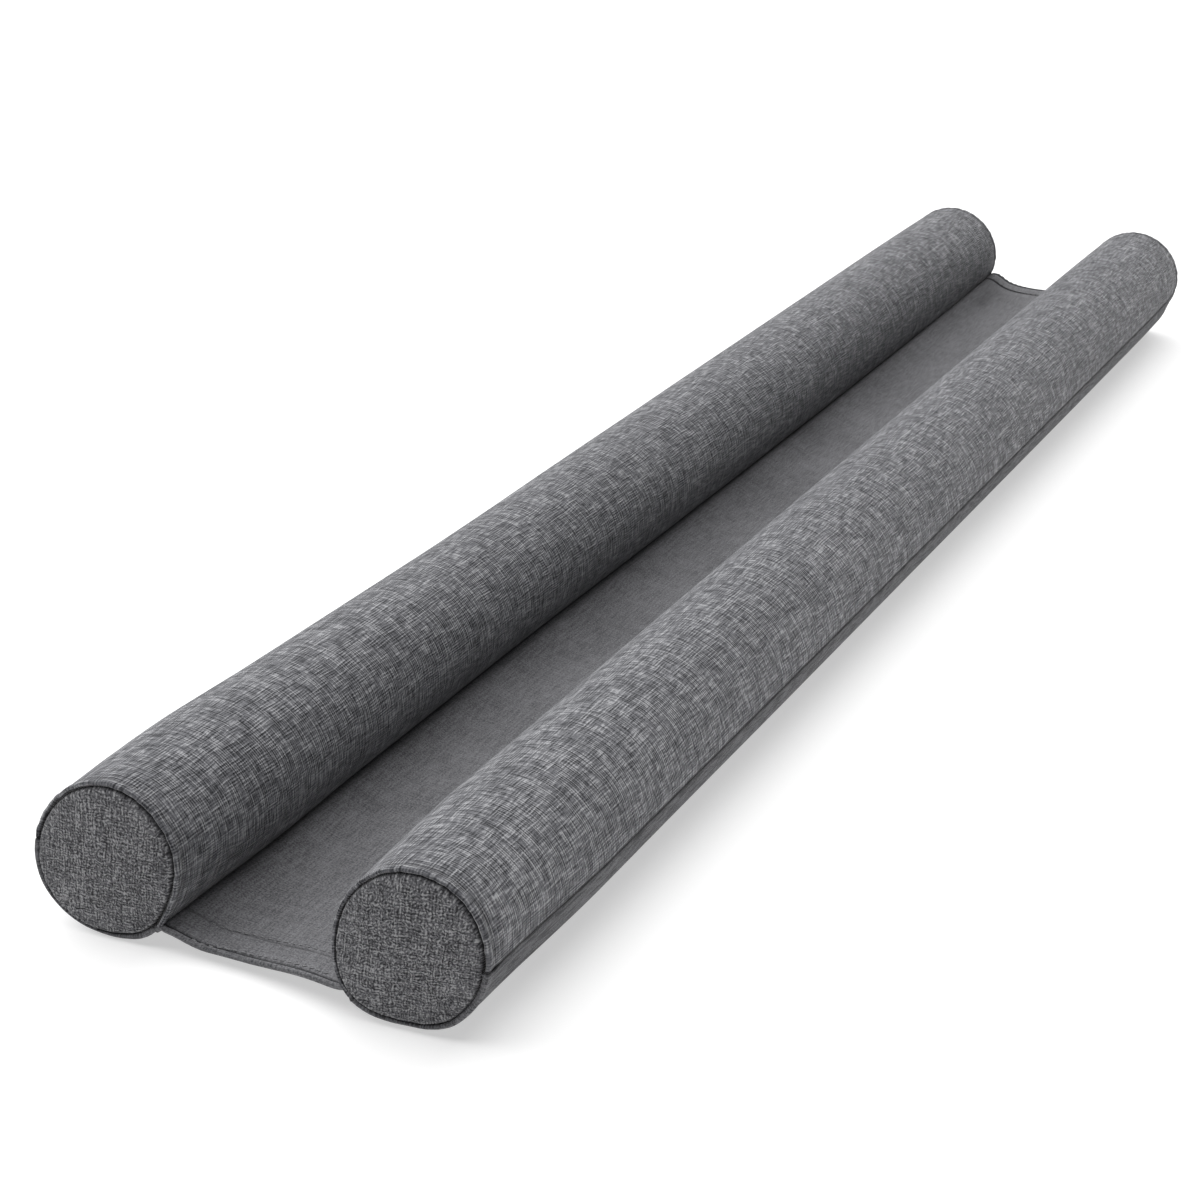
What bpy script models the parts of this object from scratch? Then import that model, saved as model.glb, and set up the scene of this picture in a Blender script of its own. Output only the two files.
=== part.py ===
"""Twin draught excluder for the gap under a door.

Two round tubes of linen-look cloth, each filled firmly, lie side by side on the floor. One plain base cloth
wraps under both tubes and runs across between them, where the door stands. X is across the tubes, Y along
them with the near end at -Y, and Z is up.
"""

import math
from collections import namedtuple

import bmesh
import bpy

MM = 0.001

# Size of the whole
LENGTH = 911 * MM
AXIS_SPACING = 120 * MM

# Cloth and clearances
CLOTH = 1.0 * MM
WELT = 2.8 * MM
GAP = 0.35 * MM
WRAP_GAP = 0.55 * MM
PRESSED_FLAT = 0.9 * MM

# Rolled rim at the ends of a tube, and the crowned panel sewn inside it
RIM_DEPTH = 6.5 * MM
SEAM_GROOVE = 1.4 * MM
PANEL_BED = 3.0 * MM
PANEL_CROWN = 1.3 * MM
LIP_SHARE = 0.2

# The cover lies a little deeper under the base cloth, and the inner long seam draws it in
UNDER_CLOTH = 1.0 * MM
UNDER_CLOTH_EASE = 20
INNER_SEAM_PULL = 1.0 * MM
INNER_SEAM_REACH = 24
NEAR_SEAM_ANGLE = 140
FAR_SEAM_ANGLE = 155

# Lying on the floor flattens each tube a little between its outer seam and the floor
SIDE_FLAT = 1.8 * MM
SIDE_FLAT_ANGLE = 42
SIDE_FLAT_REACH = 24

# The ends lean back over this much of the length
LEAN_STARTS = 5 * MM
LEAN_FADES = 80 * MM

# The hem across each end of the base cloth
HEM_SETBACK = 3.5 * MM
HEM_BELOW = 0.6
WEB_WAVE = 0.6 * MM
WAVES_ALONG = 1.5
RISE_POWER = 2.5

# Fineness of the solids
AROUND = 36
RIM_STEPS = (0, 0.04, 0.14, 0.32, 0.6, 1)
STATIONS = 18
WRAP_STEPS = 16

# Angles are in degrees, down from the horizontal that points away from the other tube.
# A positive lean tips an end's face back at its top, a positive turn faces it a little towards +X.
Tube = namedtuple("Tube", "name side radius panel_radius outer_seam near_lean near_turn far_lean far_turn")
TUBES = (
    Tube("left", -1, 29.6 * MM, 27.8 * MM, -8, 2.5, 5, 0, 3),
    Tube("right", 1, 30.0 * MM, 27.9 * MM, 1, 1.5, 6, -5, 6),
)

# How full each tube is along its length: a share of the length, and millimetres added to the radius
Fullness = namedtuple("Fullness", "along left right")
FULLNESS = (
    Fullness(0.00, -0.4, -0.4),
    Fullness(0.06, 1.1, 0.6),
    Fullness(0.15, -0.2, 0.6),
    Fullness(0.30, -0.9, 0.8),
    Fullness(0.45, -0.1, 0.8),
    Fullness(0.60, 0.4, 0.9),
    Fullness(0.75, 0.7, 1.0),
    Fullness(0.90, 1.0, 1.0),
    Fullness(1.00, 0.6, 0.4),
)

# The strip between the tubes: a share of the way across, and millimetres above the floor at either end
Web = namedtuple("Web", "across near far")
WEB = (
    Web(0.025, 9.9, 19.0),
    Web(0.060, 9.8, 19.6),
    Web(0.100, 8.8, 19.0),
    Web(0.150, 7.2, 17.3),
    Web(0.210, 5.7, 15.6),
    Web(0.300, 4.9, 14.4),
    Web(0.420, 4.7, 13.9),
    Web(0.550, 5.6, 13.9),
    Web(0.670, 6.9, 14.2),
    Web(0.770, 7.8, 14.8),
    Web(0.840, 8.2, 15.8),
    Web(0.895, 8.5, 17.2),
    Web(0.940, 9.2, 18.6),
    Web(0.975, 9.9, 19.4),
)

# The hem seen along the tubes: millimetres in from the cloth's edge, and the thickness there
Hem = namedtuple("Hem", "inset thickness")
HEM = (
    Hem(0.3, 1.7 * MM),
    Hem(1.0, WELT),
    Hem(2.6, WELT),
    Hem(3.8, 1.4 * MM),
    Hem(6.0, 2.2 * MM),
    Hem(12.0, 2.2 * MM),
    Hem(14.5, CLOTH),
)


def clear_scene():
    """Start from an empty scene."""
    for old in list(bpy.data.objects):
        bpy.data.objects.remove(old, do_unlink=True)


def smooth(share):
    """Ease from 0 to 1."""
    share = min(max(share, 0.0), 1.0)
    return share * share * (3 - 2 * share)


def mix(start, end, share):
    """A value the given share of the way from start to end."""
    return start + (end - start) * share


def along(y):
    """The share of the length at y, from 0 at the near end to 1 at the far end."""
    return min(max(y / LENGTH + 0.5, 0.0), 1.0)


def fullness(tube, y):
    """What the filling adds to a tube's radius at y."""
    share = along(y)
    for before, after in zip(FULLNESS, FULLNESS[1:]):
        if share <= after.along:
            step = smooth((share - before.along) / (after.along - before.along))
            return mix(getattr(before, tube.name), getattr(after, tube.name), step) * MM
    return 0.0


def rise(y):
    """How far the strip between the tubes has risen from its near form to its far form at y."""
    return along(y) ** RISE_POWER


def seam_angle(y):
    """Where the inner long seam runs on either tube."""
    return mix(NEAR_SEAM_ANGLE, FAR_SEAM_ANGLE, rise(y))


def cover_radius(tube, angle, y):
    """Radius of a tube's cover, less where the base cloth covers it and along the inner long seam."""
    seam = seam_angle(y)
    pull = INNER_SEAM_PULL * math.exp(-((angle - seam) / INNER_SEAM_REACH) ** 2)
    flat = SIDE_FLAT * math.exp(-((angle - SIDE_FLAT_ANGLE) / SIDE_FLAT_REACH) ** 2)
    past_edge = smooth(1 + (angle - tube.outer_seam) / UNDER_CLOTH_EASE)
    before_seam = smooth(1 - (angle - seam) / UNDER_CLOTH_EASE)
    covered = UNDER_CLOTH * past_edge * before_seam
    return tube.radius + fullness(tube, y) - pull - flat - covered


def axis_height(tube):
    """Height of a tube's axis, standing pressed flat on the base cloth."""
    return tube.radius - UNDER_CLOTH + WRAP_GAP + CLOTH - PRESSED_FLAT


def edge_distance(y):
    """Distance to the nearer end of the length."""
    return LENGTH / 2 - abs(y)


def end_shift(tube, across, up, y):
    """How far along Y a leaning end moves a point that is this far from the tube's axis."""
    from_near = y + LENGTH / 2
    from_far = LENGTH / 2 - y
    near = smooth(1 - (from_near - LEAN_STARTS) / LEAN_FADES)
    far = smooth(1 - (from_far - LEAN_STARTS) / LEAN_FADES)
    near_slope = math.tan(math.radians(tube.near_turn)) * across
    near_slope += math.tan(math.radians(tube.near_lean)) * up
    far_slope = math.tan(math.radians(tube.far_turn)) * across
    far_slope += math.tan(math.radians(tube.far_lean)) * up
    return near * near_slope - far * far_slope


def on_tube(tube, angle, y, radius, floor):
    """The point at this angle and radius about a tube's axis, no lower than the floor given."""
    across = tube.side * radius * math.cos(math.radians(angle))
    height = max(axis_height(tube) - radius * math.sin(math.radians(angle)), floor)
    shift = end_shift(tube, across, height - axis_height(tube), y)
    return tube.side * AXIS_SPACING / 2 + across, y + shift, height


def settle(tube, mesh):
    """Give a piece turned about the Y axis the tube's real, uneven, leaning form."""
    for vertex in mesh.vertices:
        x, y, z = vertex.co
        radius = math.hypot(x, z)
        angle = math.degrees(math.atan2(-z, tube.side * x))
        angle = angle + 360 if angle < -90 else angle
        share = radius / tube.radius
        real_radius = share * cover_radius(tube, angle, y)
        floor = CLOTH + WRAP_GAP + (1 - share) * (tube.radius - UNDER_CLOTH)
        vertex.co = on_tube(tube, angle, y, real_radius, floor)


def turned(name, profile):
    """A closed round piece from a half profile of (radius, y) points, far end first, about the Y axis."""
    mesh = bpy.data.meshes.new(name)
    corners = [(radius, 0.0, y) for radius, y in profile]
    edges = [(i, i + 1) for i in range(len(corners) - 1)]
    mesh.from_pydata(corners, edges, [])
    piece = bpy.data.objects.new(name, mesh)
    PARTS.objects.link(piece)
    screw = piece.modifiers.new("turn", "SCREW")
    screw.axis = "Z"
    screw.steps = AROUND
    screw.render_steps = AROUND
    screw.use_merge_vertices = True
    screw.merge_threshold = 0.01 * MM
    bpy.context.view_layer.objects.active = piece
    bpy.ops.object.modifier_apply(modifier=screw.name)
    for vertex in piece.data.vertices:
        x, y, z = vertex.co
        vertex.co = (x, z, -y)
    return piece


def rim_rounding(tube, inset):
    """How much the rolled rim takes off a tube's radius at this distance in from its end."""
    crest = mix(tube.panel_radius + GAP, tube.radius, LIP_SHARE)
    reach = max(1 - inset / RIM_DEPTH, 0.0)
    return (tube.radius - crest) * (1 - math.sqrt(1 - reach * reach))


def rim_profile(tube):
    """One end of a tube from its axis to its full radius: (radius, distance in from the end)."""
    bed = tube.panel_radius + GAP
    points = [(0.0, PANEL_BED), (bed, PANEL_BED), (bed, SEAM_GROOVE)]
    for share in RIM_STEPS:
        inset = share * RIM_DEPTH
        points.append((tube.radius - rim_rounding(tube, inset), inset))
    return points


def middle_stations():
    """Places along Y between the two hems, near end first, where every long piece has a ring of corners."""
    inner = LENGTH / 2 - HEM[-1].inset * MM
    return [mix(-inner, inner, step / STATIONS) for step in range(STATIONS + 1)]


def make_tube(tube):
    """The filled cover of one tube, with a rolled rim round a shallow bed at both ends."""
    rim = rim_profile(tube)
    far_end = [(radius, LENGTH / 2 - inset) for radius, inset in rim]
    near_end = [(radius, inset - LENGTH / 2) for radius, inset in reversed(rim)]
    middle = [(tube.radius, y) for y in reversed(middle_stations())]
    piece = turned(f"tube_{tube.name}", far_end + middle + near_end)
    settle(tube, piece.data)
    return piece


def panel_profile(tube):
    """Half of an end panel, its crowned face first: (radius, distance out from the tube's end)."""
    crown = [(0.0, 1.0), (0.3, 0.93), (0.6, 0.66), (0.85, 0.15), (0.96, -0.45), (1.0, -1.0)]
    face = [(share * tube.panel_radius, PANEL_CROWN * rise) for share, rise in crown]
    back = GAP - PANEL_BED
    return face + [(tube.panel_radius, back), (0.0, back)]


def make_panel(tube, end):
    """One round end panel, sitting in the rim at the near or far end."""
    outline = panel_profile(tube)
    if end == "far":
        profile = [(radius, LENGTH / 2 + out) for radius, out in outline]
    else:
        profile = [(radius, -LENGTH / 2 - out) for radius, out in reversed(outline)]
    piece = turned(f"end_disc_{tube.name}_{end}", profile)
    settle(tube, piece.data)
    return piece


def wrap_points(tube, y):
    """Outer face of the base cloth under one tube, from its outer edge to the inner seam."""
    tuck = rim_rounding(tube, edge_distance(y))
    points = []
    for step in range(WRAP_STEPS + 1):
        angle = mix(tube.outer_seam, seam_angle(y), step / WRAP_STEPS)
        radius = cover_radius(tube, angle, y) + WRAP_GAP + CLOTH - tuck
        points.append(on_tube(tube, angle, y, radius, tuck))
    return points


def web_points(start, end, y, thickness):
    """Lower face of the strip between the tubes, from one inner seam to the other."""
    dropped = HEM_BELOW * (thickness - CLOTH)
    wave = WEB_WAVE * math.sin(math.tau * WAVES_ALONG * along(y))
    inward = math.copysign(HEM_SETBACK, -y)
    near_edge = smooth(1 - edge_distance(y) / LEAN_FADES)
    points = []
    for row in WEB:
        bow = math.sin(math.pi * row.across)
        points.append((
            mix(start[0], end[0], row.across),
            mix(start[1], end[1], row.across) + inward * bow * near_edge,
            mix(row.near, row.far, rise(y)) * MM + wave * bow - dropped,
        ))
    return points


def section(y, thickness):
    """The base cloth's outer face across both tubes at y, from the left edge to the right edge."""
    left, right = TUBES
    under_left = wrap_points(left, y)
    under_right = wrap_points(right, y)[::-1]
    strip = web_points(under_left[-1], under_right[0], y, thickness)
    return under_left + strip + under_right


def cloth_stations():
    """Places along Y, closer together in the hems: (y, thickness of the strip between the tubes)."""
    near = [(row.inset * MM - LENGTH / 2, row.thickness) for row in HEM[:-1]]
    far = [(-y, thickness) for y, thickness in reversed(near)]
    return near + [(y, CLOTH) for y in middle_stations()] + far


def make_base_cloth():
    """The base cloth as an open sheet in its real folds, thickened inwards and thicker in its hems."""
    stations = cloth_stations()
    sections = [section(y, thickness) for y, thickness in stations]
    shaper = bmesh.new()
    grid = [[shaper.verts.new(point) for point in row] for row in sections]
    for row, next_row in zip(grid, grid[1:]):
        for i in range(len(row) - 1):
            shaper.faces.new((row[i], row[i + 1], next_row[i + 1], next_row[i]))
    mesh = bpy.data.meshes.new("base_cloth")
    shaper.to_mesh(mesh)
    shaper.free()
    piece = bpy.data.objects.new("base_cloth", mesh)
    PARTS.objects.link(piece)

    thickness = piece.vertex_groups.new(name="thickness")
    columns = len(sections[0])
    strip = range(WRAP_STEPS + 2, columns - WRAP_STEPS - 2)
    for number, (_, strip_thickness) in enumerate(stations):
        for column in range(columns):
            real = strip_thickness if column in strip else CLOTH
            thickness.add([number * columns + column], real / WELT, "REPLACE")

    shell = piece.modifiers.new("thickness", "SOLIDIFY")
    shell.thickness = WELT
    shell.offset = 1
    shell.vertex_group = thickness.name
    shell.use_rim = True
    return piece


def material(name, colour, roughness):
    """A woven cloth finish."""
    finish = bpy.data.materials.new(name)
    finish.use_nodes = True
    shader = finish.node_tree.nodes["Principled BSDF"]
    shader.inputs["Base Color"].default_value = (*colour, 1.0)
    shader.inputs["Roughness"].default_value = roughness
    shader.inputs["Metallic"].default_value = 0.0
    return finish


def dress(piece, finish):
    """Give a piece its finish and soft shading with crisp rims."""
    piece.data.materials.append(finish)
    piece.data.shade_smooth()
    piece.data.set_sharp_from_angle(angle=math.radians(50))


def stand_on_origin(pieces):
    """Hang all pieces on one empty, so that the middle of the underside is at the origin."""
    bpy.context.view_layer.update()
    corners = [piece.matrix_world @ vertex.co for piece in pieces for vertex in piece.data.vertices]
    middle = [(min(c[i] for c in corners) + max(c[i] for c in corners)) / 2 for i in (0, 1)]
    lowest = min(c[2] for c in corners)
    stand = bpy.data.objects.new("draught_excluder", None)
    stand.location = (-middle[0], -middle[1], -lowest)
    PARTS.objects.link(stand)
    for piece in pieces:
        piece.parent = stand


clear_scene()
PARTS = bpy.data.collections.new("draught_excluder")
bpy.context.scene.collection.children.link(PARTS)

linen = material("linen_cover", (0.155, 0.157, 0.172), 0.92)
plain = material("plain_base_cloth", (0.118, 0.119, 0.127), 0.88)

pieces = []
for tube in TUBES:
    pieces.append(make_tube(tube))
    pieces.append(make_panel(tube, "near"))
    pieces.append(make_panel(tube, "far"))
for piece in pieces:
    dress(piece, linen)

base_cloth = make_base_cloth()
dress(base_cloth, plain)
stand_on_origin(pieces + [base_cloth])
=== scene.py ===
# %% [markdown]
# # A twin draught excluder in grey linen-look cloth
# Two firm tubes lie on the floor, one for each side of a door, and one plain base cloth passes under both of
# them. All of it is sewn cloth, so each piece is made as a maker would cut it: two covers, four round end
# panels and one base cloth, with its seams and hems. The packed solids give every place and size.

# %% Load the frame
import math
from collections import namedtuple

import bpy
import numpy as np
from mathutils import Matrix, Vector
from mathutils.bvhtree import BVHTree


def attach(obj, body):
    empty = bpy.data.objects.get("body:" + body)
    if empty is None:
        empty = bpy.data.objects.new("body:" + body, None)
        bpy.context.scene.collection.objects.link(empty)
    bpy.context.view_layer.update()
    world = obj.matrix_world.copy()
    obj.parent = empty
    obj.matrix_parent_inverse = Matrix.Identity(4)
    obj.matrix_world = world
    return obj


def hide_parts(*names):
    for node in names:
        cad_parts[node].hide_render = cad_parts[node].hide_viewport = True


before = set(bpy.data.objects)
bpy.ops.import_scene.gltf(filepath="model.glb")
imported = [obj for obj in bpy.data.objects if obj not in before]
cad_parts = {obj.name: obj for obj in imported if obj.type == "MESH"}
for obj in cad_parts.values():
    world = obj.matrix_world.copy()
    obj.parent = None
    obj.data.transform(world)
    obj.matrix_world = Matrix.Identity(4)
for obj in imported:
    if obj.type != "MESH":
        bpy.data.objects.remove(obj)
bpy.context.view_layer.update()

# %% [markdown]
# ## The sizes that the pieces share
# A maker starts from a few sizes: how long, how far apart, how thick the cloth is. They could be typed again
# wherever they are needed, but then the pieces would soon stop fitting. Here they are named once.

# %% Driving sizes in metres
MM = 0.001
LENGTH = 911 * MM
AXIS_SPACING = 120 * MM
MIDDLE = np.array([-0.174 * MM, -0.468 * MM, 0.0])
CLOTH = 1.0 * MM
WRAP_GAP = 0.55 * MM
PRESSED_FLAT = 0.9 * MM
UNDER_CLOTH = 1.0 * MM
print("tubes", LENGTH, "m long,", AXIS_SPACING, "m from axis to axis")

# %% [markdown]
# ## What makes each tube its own
# The tubes are not perfect cylinders. Each is a little fuller in some places than in others, and its ends
# lean up and turn sideways, because cloth never closes quite square. One named row for each tube and a table
# of its fullness, in mm, say so in a few numbers. Angles are in degrees.

# %% The two tubes
Tube = namedtuple("Tube", (
    "name side radius panel outer_seam near_lean near_turn far_lean far_turn far_tuck seed"
))
TUBES = (
    Tube(name="left", side=-1, radius=29.6 * MM, panel=27.6 * MM, outer_seam=-8, near_lean=2.5, near_turn=5,
         far_lean=0, far_turn=3, far_tuck=0.0, seed=11),
    Tube(name="right", side=1, radius=30.0 * MM, panel=28.0 * MM, outer_seam=1, near_lean=1.5, near_turn=6,
         far_lean=-5, far_turn=6, far_tuck=3.2 * MM, seed=23),
)
FULLNESS_ALONG = np.array([0.00, 0.06, 0.15, 0.30, 0.45, 0.60, 0.75, 0.90, 1.00])
FULLNESS = {
    "left": (-0.4, 1.1, -0.2, -0.9, -0.1, 0.4, 0.7, 1.0, 0.6),
    "right": (-0.4, 0.6, 0.6, 0.8, 0.8, 0.9, 1.0, 1.0, 0.4),
}
for tube in TUBES:
    print(tube.name, "tube", round(2 * tube.radius, 4), "m across")

# %% [markdown]
# ## Near ends that are a little out of round
# Sewing squeezes an end out of a true circle. A circle with a few waves could stand for it, but the dark
# seam line and the outer edge don't wave together. So each row gives, at one angle, the radius in mm of the
# seam line round the end panel and of the outer edge.

# %% Outlines of the near ends
Ring = namedtuple("Ring", "angle seam edge")
NEAR_RINGS = {
    "left": (
        Ring(-90, 29.0, 30.8), Ring(-70, 28.0, 29.9), Ring(-50, 26.9, 28.8), Ring(-30, 26.4, 28.3),
        Ring(-8, 26.5, 28.5), Ring(10, 27.1, 28.8), Ring(28, 27.6, 29.1), Ring(46, 27.8, 28.7),
        Ring(66, 27.5, 28.3), Ring(86, 26.9, 28.0), Ring(104, 26.9, 28.8), Ring(118, 27.2, 29.6),
        Ring(132, 26.8, 29.2), Ring(148, 25.7, 27.9), Ring(165, 25.5, 27.4), Ring(185, 26.3, 28.2),
        Ring(205, 27.4, 29.3), Ring(225, 28.1, 30.0), Ring(245, 29.0, 30.8),
    ),
    "right": (
        Ring(-90, 29.3, 31.1), Ring(-70, 29.7, 31.5), Ring(-50, 29.1, 31.0), Ring(-30, 27.7, 29.6),
        Ring(-12, 26.4, 28.5), Ring(6, 25.6, 28.1), Ring(25, 25.4, 27.8), Ring(42, 25.6, 28.0),
        Ring(58, 26.3, 28.5), Ring(74, 26.2, 28.0), Ring(90, 25.9, 27.4), Ring(106, 26.8, 28.6),
        Ring(120, 28.3, 30.2), Ring(134, 29.0, 31.0), Ring(148, 28.5, 30.1), Ring(165, 26.9, 28.5),
        Ring(190, 25.7, 27.4), Ring(212, 26.2, 27.8), Ring(235, 27.4, 29.1), Ring(252, 28.6, 30.4),
    ),
}


def column(rows, name):
    """One column of a table of named rows."""
    return np.array([getattr(row, name) for row in rows], float)


for name, rings in NEAR_RINGS.items():
    print(name, "near end's mean radius", round(float(column(rings, "edge").mean()), 1), "mm")

# %% [markdown]
# ## Soft curves
# Cloth has no sharp steps: one form eases into the next. These four helpers make every change in this part,
# and they work on single numbers and on whole grids of numbers alike.


# %% Ease, mix, bump and curve
def ease(share):
    """Ease from 0 to 1."""
    share = np.clip(share, 0.0, 1.0)
    return share * share * (3 - 2 * share)


def mix(start, end, share):
    """A value between two others."""
    return start + (end - start) * share


def bump(place, middle, reach):
    """A soft hill, 1 in its middle and 0 far away."""
    return np.exp(-((place - middle) / reach) ** 2)


def smooth_curve(places, known, values):
    """Read values off a smooth curve through a table."""
    slopes = np.gradient(values, known, axis=0)
    row = np.clip(np.searchsorted(known, places) - 1, 0, len(known) - 2)
    width = known[row + 1] - known[row]
    step = np.clip((places - known[row]) / width, 0, 1)
    if values.ndim > 1:
        step, width = step[:, None], width[:, None]
    start = values[row] * (1 + 2 * step) * (1 - step) ** 2 + slopes[row] * width * step * (1 - step) ** 2
    end = values[row + 1] * step ** 2 * (3 - 2 * step) - slopes[row + 1] * width * step ** 2 * (1 - step)
    return start + end


print("a quarter of the way, ease has come", round(float(ease(0.25)), 3), "of the way")

# %% [markdown]
# ## What changes along the tubes
# Most of this part's character lies in how it changes from end to end: the strip between the tubes rises,
# the long seams follow it, the near ends lose their roundness and one far end lifts off the floor. Each
# change is a short function of the place along Y, so any piece can ask for it.

# %% Places along the tubes
RISE_POWER = 2.5
INNER_SEAM = (140, 155)
SEAM_DIP = 9
SEAM_DIP_REACH = 55 * MM
NEAR_END_REACH = 95 * MM
TUCK_ANGLE = 35
TUCK_SPREAD = 45
TUCK_REACH = 32 * MM


def along(y):
    """Share of the length, 0 at the near end and 1 at the far end."""
    return np.clip(y / LENGTH + 0.5, 0, 1)


def from_near(y):
    return y + LENGTH / 2


def from_far(y):
    return LENGTH / 2 - y


def edge_distance(y):
    """Distance to the nearer end."""
    return LENGTH / 2 - np.abs(y)


def rise(y):
    """How far the strip between the tubes has risen from its near form to its far form."""
    return along(y) ** RISE_POWER


def seam_angle(y):
    """Where the inner long seam runs on either tube."""
    return mix(*INNER_SEAM, rise(y)) - SEAM_DIP * np.exp(-from_near(y) / SEAM_DIP_REACH)


def fullness(tube, y):
    """What the filling adds to a tube's radius."""
    table = np.asarray(FULLNESS[tube.name]) * MM
    row = np.clip(np.searchsorted(FULLNESS_ALONG, along(y)) - 1, 0, len(table) - 2)
    step = ease((along(y) - FULLNESS_ALONG[row]) / (FULLNESS_ALONG[row + 1] - FULLNESS_ALONG[row]))
    return mix(table[row], table[row + 1], step)


def near_end(y):
    """1 at the near end, easing to 0 where the tube is round again."""
    return ease(1 - from_near(y) / NEAR_END_REACH)


def near_ring(tube, angle, line):
    """Radius of one line of the near end: its seam or its edge."""
    rings = NEAR_RINGS[tube.name]
    known, radii = column(rings, "angle"), column(rings, line) * MM
    known = np.concatenate([known[-3:] - 360, known, known[:3] + 360])
    radii = np.concatenate([radii[-3:], radii, radii[:3]])
    turn = (np.asarray(angle, float) + 90) % 360 - 90
    return smooth_curve(turn.ravel(), known, radii).reshape(turn.shape)


def far_tuck(tube, angle, y):
    """How far the far end's lower outer side is drawn in, where it lifts off the floor."""
    return tube.far_tuck * bump(angle, TUCK_ANGLE, TUCK_SPREAD) * ease(1 - from_far(y) / TUCK_REACH)


print("inner seam from", round(float(seam_angle(-LENGTH / 2))), "to", round(float(seam_angle(LENGTH / 2))),
      "degrees")

# %% [markdown]
# ## From an angle to a point on a tube
# A point on a tube is easiest to name by its place along and its angle, counted down from the horizontal
# that points away from the other tube. The radius there comes from the filling, the seams that pull it in
# and the floor that presses it flat. Last, the leaning ends move the point a little along Y.

# %% The form of a filled tube
SEAM_PULL = 1.0 * MM
SEAM_PULL_SPREAD = 24
SLACK = 1.8 * MM
SLACK_ANGLE = 42
SLACK_SPREAD = 24
LEAN_START = 5 * MM
LEAN_REACH = 80 * MM


def under_cloth(y):
    """How much lower a cover lies where the base cloth passes over it."""
    return mix(UNDER_CLOTH, CLOTH + WRAP_GAP, near_end(y))


def covered(tube, angle, y, reach=20, shift=0):
    """1 where the base cloth lies over the cover, easing to 0 past its two long seams."""
    return ease(1 + (angle - tube.outer_seam - shift) / reach) * ease(1 - (angle - seam_angle(y)) / reach)


def cover_radius(tube, angle, y):
    """Radius of a filled cover, without its fine unevenness."""
    pull = SEAM_PULL * bump(angle, seam_angle(y), SEAM_PULL_SPREAD)
    slack = SLACK * bump(angle, SLACK_ANGLE, SLACK_SPREAD)
    round_part = tube.radius + fullness(tube, y) - pull - slack
    radius = mix(round_part, near_ring(tube, angle, "edge"), near_end(y))
    return radius - under_cloth(y) * covered(tube, angle, y) - far_tuck(tube, angle, y)


def axis_height(tube):
    return tube.radius - UNDER_CLOTH + WRAP_GAP + CLOTH - PRESSED_FLAT


def lean(turned, leaned, across, up):
    """How far a turned and leaning end moves a point along Y."""
    return math.tan(math.radians(turned)) * across + math.tan(math.radians(leaned)) * up


def end_shift(tube, across, up, y):
    """The lean of both ends, each fading out along the tube."""
    near = ease(1 - (from_near(y) - LEAN_START) / LEAN_REACH)
    far = ease(1 - (from_far(y) - LEAN_START) / LEAN_REACH)
    near_shift = near * lean(tube.near_turn, tube.near_lean, across, up)
    return near_shift - far * lean(tube.far_turn, tube.far_lean, across, up)


def on_tube(tube, angle, y, radius, floor):
    """Points about a tube's axis, no lower than the floor given."""
    across = tube.side * radius * np.cos(np.radians(angle))
    height = np.maximum(axis_height(tube) - radius * np.sin(np.radians(angle)), floor)
    shift = end_shift(tube, across, height - axis_height(tube), y)
    x, y, z = np.broadcast_arrays(tube.side * AXIS_SPACING / 2 + across, y + shift, height)
    return np.stack([x, y, z], axis=-1) + MIDDLE


for tube in TUBES:
    print(tube.name, "tube axis height", round(float(axis_height(tube)), 4))

# %% [markdown]
# ## The camera
# The photograph is taken from low over the near end, a little to the right, with a long lens. Three angles
# say where it looks, and a frame of three directions built from them sets it without any guesswork.

# %% Camera at the photograph's angle
AZIMUTH, ELEVATION, ROLL = (math.radians(v) for v in (25.341, 23.777, 2.007))
CAMERA_PLACE = (0.397, -1.0325, 0.4502)
LENS_IN_MM = 72.2
SENSOR_IN_MM = 36
CLIP = (0.01, 50)
level_run = math.cos(ELEVATION)
forward = Vector((-math.sin(AZIMUTH) * level_run, math.cos(AZIMUTH) * level_run, -math.sin(ELEVATION)))
level = Vector((math.cos(AZIMUTH), math.sin(AZIMUTH), 0))
rightward = level * math.cos(ROLL) + level.cross(forward) * math.sin(ROLL)
upward = rightward.cross(forward)
bpy.ops.object.camera_add(location=CAMERA_PLACE)
camera = bpy.context.object
camera.name = "camera"
facing = Matrix((rightward, upward, -forward)).transposed().to_4x4()
camera.matrix_world = Matrix.Translation(camera.location) @ facing
camera.data.sensor_width = SENSOR_IN_MM
camera.data.lens = LENS_IN_MM
camera.data.clip_start, camera.data.clip_end = CLIP
bpy.context.scene.camera = camera
print("camera looks along", [round(v, 3) for v in forward])

# %% [markdown]
# ## The white sweep
# The part lies on white paper that the studio lights nearly burn out, so that only the core of its shadow
# shows. A plain white plane would come out grey. This one glows a little by itself as well, which keeps the
# floor white and leaves the shadow under the tubes.

# %% White floor
FLOOR_SIZE = 60
FLOOR_WHITE = 0.56
FLOOR_GLOW = 0.5
bpy.ops.object.select_all(action="DESELECT")
bpy.ops.mesh.primitive_plane_add(size=FLOOR_SIZE, location=(0, 0, 0))
floor = bpy.context.object
floor.name = "floor"
sweep = bpy.data.materials.new("white_sweep")
sweep.use_nodes = True
paper = sweep.node_tree.nodes["Principled BSDF"]
paper.inputs["Base Color"].default_value = (FLOOR_WHITE, FLOOR_WHITE, FLOOR_WHITE, 1)
paper.inputs["Roughness"].default_value = 1.0
paper.inputs["Specular IOR Level"].default_value = 0.0
paper.inputs["Emission Color"].default_value = (1, 1, 1, 1)
paper.inputs["Emission Strength"].default_value = FLOOR_GLOW
floor.data.materials.append(sweep)
print("floor", FLOOR_SIZE, "m wide")

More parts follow.
